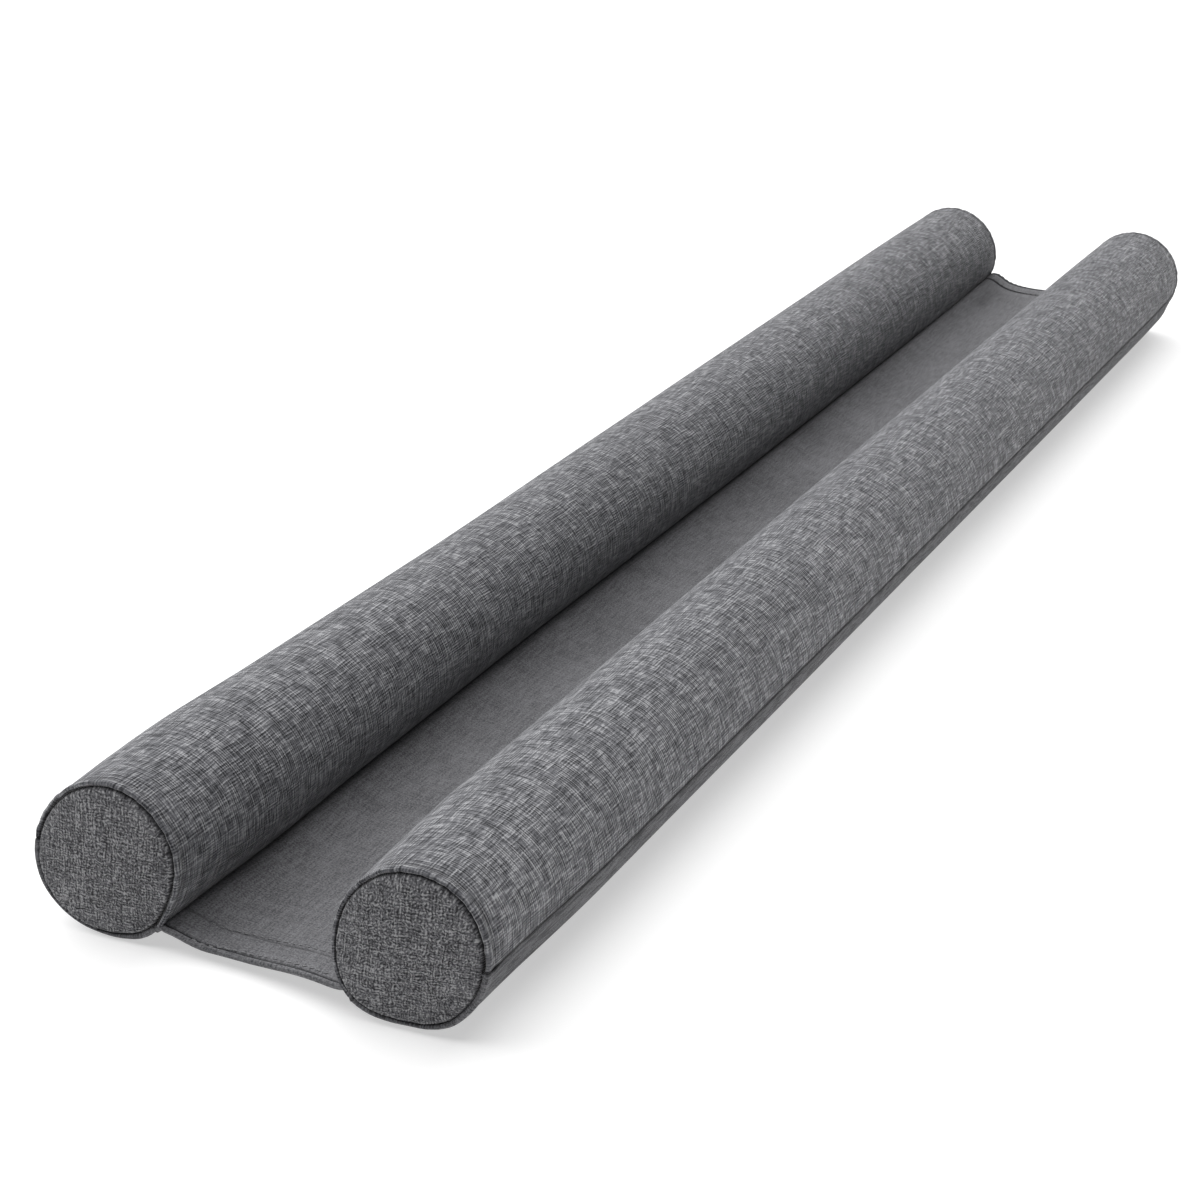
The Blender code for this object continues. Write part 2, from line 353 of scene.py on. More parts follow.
# %% [markdown]
# ## The light
# The light is very soft and comes from above, a little from the left and from behind. A ring of big lamps
# could give it. One very wide sun is simpler and as soft, and a faint sky keeps the shadows from going black.

# %% Faint sky and one wide sun
SKY = 0.12
SUN = 5.1
SUN_WIDTH = math.radians(100)
SUNBEAM = Vector((0.42, -0.34, -0.84))
sky = bpy.data.worlds.new("soft_sky")
sky.use_nodes = True
sky.node_tree.nodes["Background"].inputs["Color"].default_value = (1, 1, 1, 1)
sky.node_tree.nodes["Background"].inputs["Strength"].default_value = SKY
bpy.context.scene.world = sky
shining = SUNBEAM.to_track_quat("-Z", "Y").to_euler()
bpy.ops.object.light_add(type="SUN", location=(-1, 0, 2), rotation=shining)
sun = bpy.context.object
sun.name = "wide_sun"
sun.data.energy = SUN
sun.data.angle = SUN_WIDTH
bpy.context.scene.view_settings.view_transform = "Standard"
print("the sun shines along", [round(v, 2) for v in SUNBEAM])

# %% [markdown]
# ## Shader sums that read like sums
# A woven finish is worked out yarn by yarn, which takes a lot of arithmetic. A wire is a value that runs
# through a material: adding or multiplying wires adds the Math nodes, so the recipe for a cloth can be
# read as ordinary sums.


# %% A wire
class Wire:
    """A value in a finish, which can be added, multiplied and so on like a number."""

    def __init__(self, finish, socket):
        self.finish = finish
        self.socket = socket

    def sum(self, operation, *values):
        return self.finish.node("ShaderNodeMath", {"operation": operation}, dict(enumerate(values)))

    def __add__(self, other):
        return self.sum("ADD", self, other)

    def __sub__(self, other):
        return self.sum("SUBTRACT", self, other)

    def __rsub__(self, other):
        return self.sum("SUBTRACT", other, self)

    def __mul__(self, other):
        return self.sum("MULTIPLY", self, other)

    def __truediv__(self, number):
        return self.sum("MULTIPLY", self, 1 / number)

    def __rtruediv__(self, number):
        return self.power(-1) * number

    __radd__ = __add__
    __rmul__ = __mul__

    def whole(self):
        return self.sum("FLOOR", self)

    def wave(self):
        return self.sum("SINE", self)

    def size(self):
        return self.sum("ABSOLUTE", self)

    def power(self, exponent):
        return self.sum("POWER", self, exponent)

    def remainder(self, other):
        return self.sum("FLOORED_MODULO", self, other)

    def ramp(self, low, high, start=0.0, end=1.0):
        """Start at low, end at high, and ease between."""
        settings = {"interpolation_type": "SMOOTHSTEP", "clamp": True}
        return self.finish.node(
            "ShaderNodeMapRange", settings, {0: self, 1: low, 2: high, 3: start, 4: end}
        )


print("what a wire can do besides sums:", [name for name in vars(Wire) if not name.startswith("_")])

# %% [markdown]
# ## A finish
# A finish is one material, built up in code around its Principled shader. Every node comes from one method,
# so a recipe never has to place or link a node by hand. All the cloths share what is done here: reading
# their weave map, painting shade into their seams and creases, and the dull look of loose fibres.

# %% A finish built in code
# Near black for the shade painted into seams, creases and grooves.
PAINTED_SHADE_BLACK = (0.012, 0.012, 0.014, 1.0)
CLOTH_GLOSS = 0.25


class Finish:
    """A material built up in code around its Principled shader."""

    def __init__(self, name):
        self.material = bpy.data.materials.new(name)
        self.material.use_nodes = True
        self.tree = self.material.node_tree
        self.shader = self.tree.nodes["Principled BSDF"]

    def node(self, kind, settings=None, values=None, output=0):
        made = self.tree.nodes.new(kind)
        for name, setting in (settings or {}).items():
            setattr(made, name, setting)
        for place, value in (values or {}).items():
            self.feed(made.inputs[place], value)
        return Wire(self, made.outputs[output])

    def feed(self, socket, value):
        if isinstance(value, Wire):
            self.tree.links.new(value.socket, socket)
        else:
            socket.default_value = value

    def place(self):
        """Metres across and along the cloth, from the piece's own weave map."""
        chart = self.node("ShaderNodeUVMap", {"uv_map": "weave"})
        return [self.node("ShaderNodeSeparateXYZ", None, {0: chart}, axis) for axis in ("X", "Y")]

    def noise(self, across, lengthwise, seed, detail=2.0, rough=0.5):
        """Smooth noise, 0 to 1, that varies once for every whole step across and along."""
        spot = self.node("ShaderNodeCombineXYZ", None, {0: across, 1: lengthwise, 2: seed})
        settings = {"noise_dimensions": "3D"}
        values = {"Vector": spot, "Scale": 1.0, "Detail": detail, "Roughness": rough}
        return self.node("ShaderNodeTexNoise", settings, values)

    def blend(self, share, first, second):
        """A colour between two others."""
        made = self.tree.nodes.new("ShaderNodeMix")
        made.data_type = "RGBA"
        for socket, value in ((made.inputs[0], share), (made.inputs[6], first), (made.inputs[7], second)):
            self.feed(socket, value)
        return Wire(self, made.outputs[2])

    def paint(self, shade):
        """Wear a colour, darkened to near black by painted shade in seams, creases and grooves."""
        depth = self.node("ShaderNodeAttribute", {"attribute_name": "painted_shade"}, None, "Fac")
        self.feed(self.shader.inputs["Base Color"], self.blend(depth, shade, PAINTED_SHADE_BLACK))

    def relief(self, height, depth):
        """Wear a relief, from a height in 0 to 1 and its depth in metres."""
        values = {"Height": height, "Distance": depth, "Strength": 1.0}
        self.feed(self.shader.inputs["Normal"], self.node("ShaderNodeBump", None, values))

    def fibres(self, amount, spread):
        """Little gloss, and the soft edge light of loose fibres."""
        self.shader.inputs["Specular IOR Level"].default_value = CLOTH_GLOSS
        self.shader.inputs["Sheen Weight"].default_value = amount
        self.shader.inputs["Sheen Roughness"].default_value = spread


def colour(red, green, blue):
    return (red, green, blue, 1.0)


print("seams darken to", PAINTED_SHADE_BLACK[:3])

# %% [markdown]
# ## Yarns of a linen-look cloth
# The cover cloth imitates linen: yarns of several greys cross at right angles, and here and there a yarn
# swells into a slub that catches the light. A picture of cloth would show its edges and repeat. So each
# direction gets its own yarns, from noise that is drawn out long and thin.

# %% Yarns and slubs
YARN = 1.12 * MM
YARN_LENGTH = 6 * MM
YARN_JUMP = 7.31
YARN_STRENGTH = (0.36, 0.62, 0.1, 1.0)
THREAD = 0.7 * MM
THREAD_LENGTH = 6 * MM
SLUB_WIDTH = 1.3 * MM
SLUB_LENGTH = 21 * MM
LIGHT_SLUB = (0.6, 0.78)
DARK_SLUB = (0.36, 0.2)
DARK_SLUB_SHARE = 0.7


def yarns(finish, across, lengthwise, seed):
    """The yarns that run lengthwise: their round form, single threads, and the odd light or dark slub."""
    turns = across / YARN
    strength = finish.noise(turns.whole() * YARN_JUMP, lengthwise / YARN_LENGTH, seed, detail=1.0)
    line = (turns * math.tau).wave() * strength.ramp(*YARN_STRENGTH)
    thread = finish.noise(across / THREAD, lengthwise / THREAD_LENGTH, seed + 0.3, detail=0.5) - 0.5
    slub = finish.noise(across / SLUB_WIDTH, lengthwise / SLUB_LENGTH, seed + 0.5, detail=0.0)
    return line, thread, slub.ramp(*LIGHT_SLUB) - slub.ramp(*DARK_SLUB) * DARK_SLUB_SHARE


print("one yarn every", round(YARN * 1000, 2), "mm")

# %% [markdown]
# ## Yarns that a round seam pulls
# Round the end panels the seam gathers the cloth, and short yarns near it turn towards it. Their direction
# is worked out from the panel's middle, so they point straight at the seam all the way round. The panels'
# weave maps lie at whole spacings from each other, so one sum finds the middle of every panel.

# %% Pulled yarns
PANEL_RADIUS = 28 * MM
PANEL_SPACING = 0.1
PULLED_YARN = 0.62 * MM
PULLED_LENGTH = 2.6 * MM
PULL_START = 0.66


def pulled_yarns(finish, across, lengthwise):
    """The short yarns that a round seam pulls towards itself, and how strongly it pulls."""
    sideways = (across + PANEL_SPACING / 2).remainder(PANEL_SPACING) - PANEL_SPACING / 2
    out = (sideways * sideways + lengthwise * lengthwise).power(0.5)
    turns = PANEL_RADIUS / PULLED_YARN / out
    streak = finish.noise(sideways * turns, lengthwise * turns, out / PULLED_LENGTH, detail=0.5) - 0.5
    return streak, out.ramp(PULL_START * PANEL_RADIUS, PANEL_RADIUS)


print("yarns are pulled in the outer", round((1 - PULL_START) * PANEL_RADIUS * 1000, 1), "mm of a panel")

# %% [markdown]
# ## The linen-look cloths
# Covers and end panels are cut from the same cloth, but the panels look coarser and more pebbled, stretched
# as they are in their round seams. So one recipe takes a row of settings for each. The yarns wander a
# little, as nothing in cloth runs dead straight, and their sum picks a grey from dark to light.

# %% Linen-look finish
Weave = namedtuple("Weave", "wander wander_size pebble pebble_size yarn_share round_seam")
COVER_WEAVE = Weave(1.1 * MM, 13 * MM, 0.6, 0.5 * MM, 1.0, False)
PANEL_WEAVE = Weave(1.5 * MM, 2.6 * MM, 2.9, 0.74 * MM, 0.7, True)
CLOUD = 38 * MM
MIDDLE_TONE = 0.48
LINE_SHARE = 0.2
THREAD_TONE = 1.3
SLUB_TONE = 0.19
CLOUD_TONE = 0.12
THREAD_RELIEF = 0.8
SLUB_RELIEF = 0.12
PEBBLE_RELIEF = 0.4
PULL_SHARE = 0.3
LINEN_DEPTH = 0.6 * MM


def linen_finish(name, greys, weave):
    """Linen-look cloth in three greys, from dark to light."""
    finish = Finish(name)
    flat_across, flat_along = finish.place()
    crumple = finish.noise(flat_across / weave.wander_size, flat_along / weave.wander_size, 4.0, detail=0.4)
    wander = (crumple - 0.5) * weave.wander
    across, lengthwise = flat_across + wander, flat_along + wander
    warp, warp_thread, warp_slub = yarns(finish, across, lengthwise, 1.0)
    weft, weft_thread, weft_slub = yarns(finish, lengthwise, across, 2.0)
    lines = (warp + weft) * LINE_SHARE
    threads = (warp_thread + weft_thread) * weave.yarn_share
    slubs = (warp_slub + weft_slub) * weave.yarn_share
    pebbles = finish.noise(across / weave.pebble_size, lengthwise / weave.pebble_size, 8.0, detail=1.0)
    pebbles = (pebbles - 0.5) * weave.pebble
    cloud = finish.noise(across / CLOUD, lengthwise / CLOUD, 7.0) - 0.5
    tone = lines + threads * THREAD_TONE + slubs * SLUB_TONE + pebbles + cloud * CLOUD_TONE + MIDDLE_TONE
    height = lines + threads * THREAD_RELIEF + slubs * SLUB_RELIEF + pebbles * PEBBLE_RELIEF + 0.5
    if weave.round_seam:
        streak, pull = pulled_yarns(finish, flat_across, flat_along)
        tone = tone - (tone - MIDDLE_TONE) * pull * PULL_SHARE + streak * pull * THREAD_TONE
        height = height - (height - 0.5) * pull * PULL_SHARE + streak * pull * THREAD_RELIEF
    dark, middle, light = greys
    lower_tones = finish.blend(tone.ramp(-0.05, 0.5), dark, middle)
    finish.paint(finish.blend(tone.ramp(0.5, 1.05), lower_tones, light))
    finish.relief(height, LINEN_DEPTH)
    finish.feed(finish.shader.inputs["Roughness"], tone.ramp(0.0, 1.0, 0.98, 0.82))
    finish.fibres(0.26, 0.45)
    return finish.material


COVER_GREYS = colour(0.029, 0.03, 0.035), colour(0.119, 0.12, 0.131), colour(0.332, 0.334, 0.348)
PANEL_GREYS = colour(0.025, 0.025, 0.028), colour(0.11, 0.11, 0.118), colour(0.325, 0.325, 0.334)
linen = linen_finish("linen_cover", COVER_GREYS, COVER_WEAVE)
panel_linen = linen_finish("linen_end_panel", PANEL_GREYS, PANEL_WEAVE)
print("linen nodes:", len(linen.node_tree.nodes), "and with pulled yarns", len(panel_linen.node_tree.nodes))

# %% [markdown]
# ## The plain base cloth
# The strip under the door is a finer, smoother cloth in nearly the same grey. Its yarns are too thin to
# tell apart from a step away, so it gets a small even weave, faint long yarns and a soft mottle. The long
# yarns show more where the cloth is stretched round a tube than in the strip.

# %% Plain finish
TURN_IN = 15 * MM
CLOTH_CUT = (0.227, LENGTH + 2 * TURN_IN)
FINE_YARN = 0.42 * MM
GRAIN = 0.7 * MM
LONG_YARN = (0.9 * MM, 10 * MM)
CROSS_YARN = (9 * MM, 0.7 * MM)
MOTTLE = (30 * MM, 45 * MM)
STRIP_EDGE = (34 * MM, 42 * MM)
WEAVE_TONE = 0.3
GRAIN_TONE = 2.2
STRIP_YARN_TONE = 0.9
WRAP_YARN_TONE = 2.2
CROSS_TONE = 0.6
MOTTLE_TONE = 0.5
PLAIN_DEPTH = 0.2 * MM


def plain_finish(name, dark, light):
    """Fine plain cloth between two greys."""
    finish = Finish(name)
    across, lengthwise = finish.place()

    def drawn(size, seed, detail=1.0):
        return finish.noise(across / size[0], lengthwise / size[1], seed, detail) - 0.5

    turns, cross_turns = across * (math.pi / FINE_YARN), lengthwise * (math.pi / FINE_YARN)
    weave = turns.wave().size() * cross_turns.wave().size()
    grain = finish.noise(across / GRAIN, lengthwise / GRAIN, 3.0, detail=2.0, rough=0.6)
    wrapped = (across - CLOTH_CUT[0] / 2).size().ramp(*STRIP_EDGE)
    tone = (weave - 0.4) * WEAVE_TONE + (grain - 0.5) * GRAIN_TONE + 0.5
    tone = tone + drawn(LONG_YARN, 5.0) * (wrapped * WRAP_YARN_TONE + STRIP_YARN_TONE)
    tone = tone + drawn(CROSS_YARN, 5.5) * CROSS_TONE + drawn(MOTTLE, 6.0, 2.0) * MOTTLE_TONE
    finish.paint(finish.blend(tone.ramp(0.0, 1.0), dark, light))
    finish.relief(weave * 0.5 + grain * 0.5, PLAIN_DEPTH)
    finish.feed(finish.shader.inputs["Roughness"], grain.ramp(0.2, 0.8, 0.92, 0.8))
    finish.fibres(0.18, 0.4)
    return finish.material


plain = plain_finish("plain_base_cloth", colour(0.066, 0.066, 0.071), colour(0.202, 0.202, 0.213))
print("plain cloth nodes:", len(plain.node_tree.nodes))

# %% [markdown]
# ## Laying a cloth on points
# Every piece of this part is a rectangle or a disc of cloth that has been bent into place. So each starts
# as a flat grid, is laid on its points, and keeps a weave map that says how far across and along the
# cloth each corner was before it was bent. Where edges meet they are welded, so nothing is left open.

# %% Lay a grid of cloth
WELD = 0.01 * MM


def flat_grid(name, rows, columns):
    """A flat grid, and the rows and columns of its points."""
    bpy.ops.object.select_all(action="DESELECT")
    bpy.ops.mesh.primitive_grid_add(x_subdivisions=columns - 1, y_subdivisions=rows - 1, size=1)
    piece = bpy.context.object
    piece.name = piece.data.name = name
    flat = np.empty(len(piece.data.vertices) * 3)
    piece.data.vertices.foreach_get("co", flat)
    flat = flat.reshape(-1, 3) + 0.5
    at_row = np.rint(flat[:, 1] * (rows - 1)).astype(int)
    at_column = np.rint(flat[:, 0] * (columns - 1)).astype(int)
    return piece, (at_row, at_column)


def write_maps(mesh, across, lengthwise, depth):
    """Store the weave map and the painted shade of seams and creases, from one value for each point."""
    corner = np.empty(len(mesh.loops), dtype=np.int32)
    mesh.loops.foreach_get("vertex_index", corner)
    mesh.uv_layers[0].name = "weave"
    chart = np.stack([across, lengthwise], axis=-1)[corner]
    mesh.uv_layers["weave"].data.foreach_set("uv", chart.ravel())
    seams = mesh.attributes.new("painted_shade", "FLOAT", "POINT")
    seams.data.foreach_set("value", np.clip(depth, 0, 1))


def lay_cloth(name, points, across, lengthwise, depth, finish):
    """A grid laid on points (rows, columns, 3), with a weave map in metres and painted seam shade."""
    size = points.shape[:2]
    piece, spots = flat_grid(name, *size)
    mesh = piece.data
    mesh.vertices.foreach_set("co", points[spots].ravel())
    write_maps(mesh, *(np.broadcast_to(values, size)[spots] for values in (across, lengthwise, depth)))
    bpy.ops.object.mode_set(mode="EDIT")
    bpy.ops.mesh.select_all(action="SELECT")
    bpy.ops.mesh.remove_doubles(threshold=WELD)
    bpy.ops.mesh.normals_make_consistent(inside=False)
    bpy.ops.object.mode_set(mode="OBJECT")
    mesh.shade_smooth()
    mesh.materials.append(finish)
    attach(piece, "root")
    print(name, "has", len(mesh.polygons), "faces")
    return piece


# %% [markdown]
# ## Gentle unevenness
# Hand sewing is uneven, but not wild: a seam's puckers come at about the same distance. Pure chance would
# look like dents. A few waves of near lengths, each with a chance start and height, look like sewing, and
# a fixed seed makes them the same on every run.

# %% Ripples and gathers
WAVE_HEIGHTS = (0.7, 1.3)


def ripple(places, waves, seed):
    """A repeatable gentle unevenness, about -1 to 1, made of waves of the lengths given."""
    dice = np.random.default_rng(seed)
    total = np.zeros_like(np.asarray(places, float))
    for wave in waves:
        start = dice.random()
        total = total + np.sin(math.tau * (places / wave + start)) * mix(*WAVE_HEIGHTS, dice.random())
    return total / len(waves) ** 0.5


def gathers_round(distance, waves, seed):
    """Puckers round a seam, alike in the first and last column, where the grid closes."""
    gathers = ripple(distance, waves, seed)
    gathers[:, -1] = gathers[:, 0]
    return gathers


print("a ripple of three waves starts at", round(float(ripple(0.0, (1, 2, 3), 1)), 3))

# %% [markdown]
# ## Filling the tubes
# A filled cover swells wherever its cloth is free and is held where it is sewn. That is what a cloth
# simulation is good at: the solid is drawn in a little, remeshed evenly and blown up by its filling. Its
# movement is capped, so that it stays a firm tube.

# %% Swell a cover with its filling
DRAWN_IN = 0.97
EVEN_MESH = 5 * MM
FILLING_PRESSURE = 4
FRAMES = 20
SWELL_LIMIT = 2.5 * MM
HARDLY_ANY = 1e-9


def solid_copy(tube):
    """A welded copy of the tube's solid, drawn in towards its axis."""
    bpy.ops.object.select_all(action="DESELECT")
    form = bpy.data.objects.new(f"filling_{tube.name}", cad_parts[f"tube_{tube.name}"].data.copy())
    bpy.context.scene.collection.objects.link(form)
    form.select_set(True)
    bpy.context.view_layer.objects.active = form
    bpy.ops.object.mode_set(mode="EDIT")
    bpy.ops.mesh.select_all(action="SELECT")
    bpy.ops.mesh.remove_doubles(threshold=WELD / 2)
    bpy.ops.object.mode_set(mode="OBJECT")
    axis_x, axis_z = tube.side * AXIS_SPACING / 2 + MIDDLE[0], axis_height(tube)
    for vertex in form.data.vertices:
        vertex.co.x = mix(axis_x, vertex.co.x, DRAWN_IN)
        vertex.co.z = mix(axis_z, vertex.co.z, DRAWN_IN)
    return form


def filled_form(tube):
    """The tube's solid after its filling has swelled it, as a form to measure."""
    form = solid_copy(tube)
    even = form.modifiers.new("even", "REMESH")
    even.mode = "VOXEL"
    even.voxel_size = EVEN_MESH
    bpy.ops.object.modifier_apply(modifier=even.name)
    start = np.array([vertex.co[:] for vertex in form.data.vertices])
    swell = form.modifiers.new("swell", "CLOTH")
    swell.settings.use_pressure = True
    swell.settings.uniform_pressure_force = FILLING_PRESSURE
    swell.settings.effector_weights.gravity = 0
    for number in range(1, FRAMES + 1):
        bpy.context.scene.frame_set(number)
    bpy.ops.object.modifier_apply(modifier=swell.name)
    bpy.context.scene.frame_set(1)
    moved = np.array([vertex.co[:] for vertex in form.data.vertices]) - start
    reach = np.linalg.norm(moved, axis=1, keepdims=True)
    capped = start + moved * np.minimum(1, SWELL_LIMIT / np.maximum(reach, HARDLY_ANY))
    form.data.vertices.foreach_set("co", capped.ravel())
    rounder = form.modifiers.new("rounder", "SUBSURF")
    rounder.levels = rounder.render_levels = 1
    bpy.ops.object.modifier_apply(modifier=rounder.name)
    print("the filling moved the", tube.name, "cover by", round(float(reach.mean()) * 1000, 2), "mm")
    return form


# %% [markdown] ## Reading the swelled form The swelled form itself is too coarse to show. Only its
# unevenness is wanted, because the tables already say how thick each tube is. So a ray from the axis
# measures it at every point of the cover's grid, and the tube's own radius is taken off.

# %% How uneven the filling makes a cover
UNEVEN = 0.8 * MM
END_CLEAR = 12 * MM
RAY_LENGTH = 50 * MM


def measured_radii(tube, form, angles, places):
    """The form's radius at every place along and angle."""
    shape = BVHTree.FromObject(form, bpy.context.evaluated_depsgraph_get())
    radii = np.full((len(places), len(angles)), tube.radius)
    for i, y in enumerate(np.clip(places, END_CLEAR - LENGTH / 2, LENGTH / 2 - END_CLEAR)):
        centre = Vector((tube.side * AXIS_SPACING / 2 + MIDDLE[0], y, axis_height(tube)))
        for j, angle in enumerate(np.radians(angles)):
            ray = Vector((tube.side * math.cos(angle), 0, -math.sin(angle)))
            hit = shape.ray_cast(centre, ray, RAY_LENGTH)[0]
            if hit:
                radii[i, j] = (hit - centre).length
    return radii


def swelling(tube, angles, places):
    """How far the filled form stands from its own average, in metres, by place along and angle."""
    form = filled_form(tube)
    radii = measured_radii(tube, form, angles, places)
    bpy.data.objects.remove(form, do_unlink=True)
    uneven = radii - cover_radius(tube, angles[None, :], places[:, None])
    return np.clip(uneven - np.median(uneven), -UNEVEN, UNEVEN)


print("simulation used")

# %% [markdown]
# ## The rim of a cover
# A cover is a rectangle of linen-look cloth closed round the filling. At each end it rolls over a narrow rim
# into the seam that holds the round end panel. That roll is a fixed outline, so it is a table: how far each
# row drops below the radius, how far it lies in from the end, both in mm, and how much painted shade darkens
# it, standing for the shadow in the seam and in the shallow valley behind the roll. The grid goes right
# across under the panel, so the cover is one closed piece.

# %% Rows and columns of a cover
Rim = namedtuple("Rim", "drop inset depth")
RIM = (
    Rim(2.6, 2.6, 1), Rim(2.25, 1.6, 1), Rim(1.9, 0.9, 1), Rim(1.6, 0.5, 0.85), Rim(1.32, 0.2, 0.15),
    Rim(1.0, 0.05, 0), Rim(0.72, 0.0, 0), Rim(0.45, 0.1, 0), Rim(0.22, 0.35, 0), Rim(0.02, 0.8, 0),
    Rim(-0.1, 1.4, 0), Rim(-0.04, 2.1, 0.05), Rim(0.28, 3.0, 0.35), Rim(0.38, 3.7, 0.4),
    Rim(0.22, 4.8, 0.15), Rim(0.08, 6.6, 0),
)
BED_SHARES = (0.0, 0.5, 0.98)
BED_INSET = 3.2 * MM
ROLL_LENGTH = 9 * MM
ROWS_ALONG = 380
COLUMNS_ROUND = 156
ROUND = (-110, 250)
SEAM_COLUMNS = np.array([-2.8, -1.8, -1.0, -0.4, 0.1, 0.6, 1.1, 1.6, 2.2, 3.0])
SEAM_CLEAR = 3.5


def cover_rows(tube):
    """Share of the tube's radius, place along Y and painted seam shade for every row, near end first."""
    bed = [(share * (tube.radius - RIM[0].drop * MM), BED_INSET, 1) for share in BED_SHARES]
    roll = bed + [(tube.radius - row.drop * MM, row.inset * MM, row.depth) for row in RIM]
    inner = LENGTH / 2 - ROLL_LENGTH
    near = [(radius, inset - LENGTH / 2, depth) for radius, inset, depth in roll]
    middle = [(tube.radius, y, 0) for y in np.linspace(-inner, inner, ROWS_ALONG)]
    far = [(radius, LENGTH / 2 - inset, depth) for radius, inset, depth in reversed(roll)]
    rows = np.array(near + middle + far)
    return rows[:, 0] / tube.radius, rows[:, 1], rows[:, 2]


def cover_angles(tube):
    """Angles of the columns, closer together across the outer long seam."""
    angles = np.linspace(*ROUND, COLUMNS_ROUND + 1)
    clear = np.abs(angles - tube.outer_seam) > SEAM_CLEAR
    return np.union1d(angles[clear], tube.outer_seam + SEAM_COLUMNS)


print("a cover has", len(cover_rows(TUBES[0])[0]), "rows and", len(cover_angles(TUBES[0])), "columns")

# %% [markdown]
# ## The covers
# The covers are the soft, filled pieces. Their long seams draw the cloth in, their ends are gathered in small
# puckers, and where the base cloth passes over them they lie one cloth lower. All of that is added to the
# radius before the grid is laid, so the surface needs no sculpting afterwards.

# %% Make the covers
HELD = 30 * MM
LAP_REACH = 3
LAP_SHIFT = 2.6
SEAM_GROOVE = 0.12 * MM
SEAM_GROOVE_SPREAD = 1.4
PUCKER = 0.14 * MM
PUCKER_REACH = 5 * MM
COVER_GATHERS = (4.1 * MM, 5.7 * MM, 7.9 * MM)
TUCK_BACK = 1.4 * MM
TUCK_BACK_REACH = 3 * MM


def cover_surface(tube, share, places, angle, uneven):
    """Radius of the cover with its filling, laps and gathers."""
    under = covered(tube, angle, places)
    radius = cover_radius(tube, angle, places)
    radius = radius + uneven * (1 - under) * ease(edge_distance(places) / HELD)
    radius = radius + under_cloth(places) * (under - covered(tube, angle, places, LAP_REACH, LAP_SHIFT))
    radius = radius - SEAM_GROOVE * bump(angle, tube.outer_seam + 0.2, SEAM_GROOVE_SPREAD)
    gathers = gathers_round(np.radians(angle) * tube.radius, COVER_GATHERS, tube.seed)
    return radius + PUCKER * gathers * np.exp(-edge_distance(places) / PUCKER_REACH) * (share > 0.9)


def tucked_back(tube, angle, places):
    """Places along Y, drawn back from the ends where the base cloth rolls over them."""
    hidden = ease((angle - tube.outer_seam - 2.5) / 4) * ease((seam_angle(places) + 3 - angle) / 5)
    return places - np.sign(places) * TUCK_BACK * hidden * np.exp(-edge_distance(places) / TUCK_BACK_REACH)


def make_cover(tube):
    share, y, depth = cover_rows(tube)
    angles = cover_angles(tube)
    arc = np.concatenate([[0], np.cumsum(np.hypot(np.diff(y), np.diff(share) * tube.radius))])[:, None]
    uneven = swelling(tube, angles, y)
    share, places, angle = share[:, None], y[:, None], angles[None, :]
    radius = cover_surface(tube, share, places, angle, uneven)
    floor = CLOTH + WRAP_GAP + (1 - share) * (tube.radius - UNDER_CLOTH)
    points = on_tube(tube, angle, tucked_back(tube, angle, places), radius * share, floor)
    points[:, -1] = points[:, 0]
    # Painted shade along both long seams, added to the rim's painted shade.
    outer_seam_shade = 1.5 * bump(angle, tube.outer_seam + 0.3, 1.2)
    inner_seam_shade = 0.85 * bump(angle, seam_angle(places) + 1, 2.2)
    return lay_cloth(f"cover_{tube.name}", points, np.radians(angle) * tube.radius, arc,
                     depth[:, None] + outer_seam_shade + inner_seam_shade, linen)


for tube in TUBES:
    cover = make_cover(tube)
    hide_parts(f"tube_{tube.name}")

# %% [markdown]
# ## The end panels
# Each end is closed by a round panel of the same cloth. The filling pushes it out into a low crown, and
# the seam round it pulls it in again in small puckers. Its weave runs straight up, not round and round,
# because the panel was cut from flat cloth.

# %% Form of a round end panel
PANEL_RINGS = 30
PANEL_COLUMNS = 120
Crown = namedtuple("Crown", "share rise")
CROWN = (
    Crown(0.0, 1.5), Crown(0.3, 1.44), Crown(0.6, 1.26), Crown(0.85, 0.88), Crown(0.94, 0.62),
    Crown(0.975, 0.38), Crown(0.99, 0.1), Crown(1.0, -1.0),
)
PANEL_BACK = (Crown(1.0, -2.0), Crown(0.99, -2.5), Crown(0.5, -2.5), Crown(0.0, -2.5))
PANEL_GATHERS = (3.7 * MM, 5.2 * MM, 8.3 * MM)
PANEL_PUCKER = 0.13 * MM
LUMP = 0.18 * MM


def panel_profile():
    """Share of the radius for every ring of the grid, and how far out it stands."""
    share = np.linspace(0, 1, PANEL_RINGS) ** 0.7
    crown = smooth_curve(share, column(CROWN, "share"), column(CROWN, "rise"))
    share = np.concatenate([share, column(PANEL_BACK, "share")])
    return share[:, None], np.concatenate([crown, column(PANEL_BACK, "rise")])[:, None] * MM


def lumps(sideways, up, seed):
    """Low lumps where the filling presses on the panel."""
    first = ripple(sideways * 60 + up * 23, (31.0, 19.0), seed)
    return first * ripple(up * 60 - sideways * 17, (37.0, 23.0), seed + 1)


print("a panel's crown stands", CROWN[0].rise, "mm out")

# %% [markdown]
# ## Sewing the panels in
# A panel sits in the cover's rim, so its edge follows the near end's seam line, or a true circle at the far
# end, and dips behind the rim all round. A disc could be cut out of a plane, but rings laid from the
# middle outwards put small faces where the seam bends most.

# %% Make the end panels
PANEL_IN_SEAM = 0.1 * MM
PANEL_FLOOR = 2.3 * MM


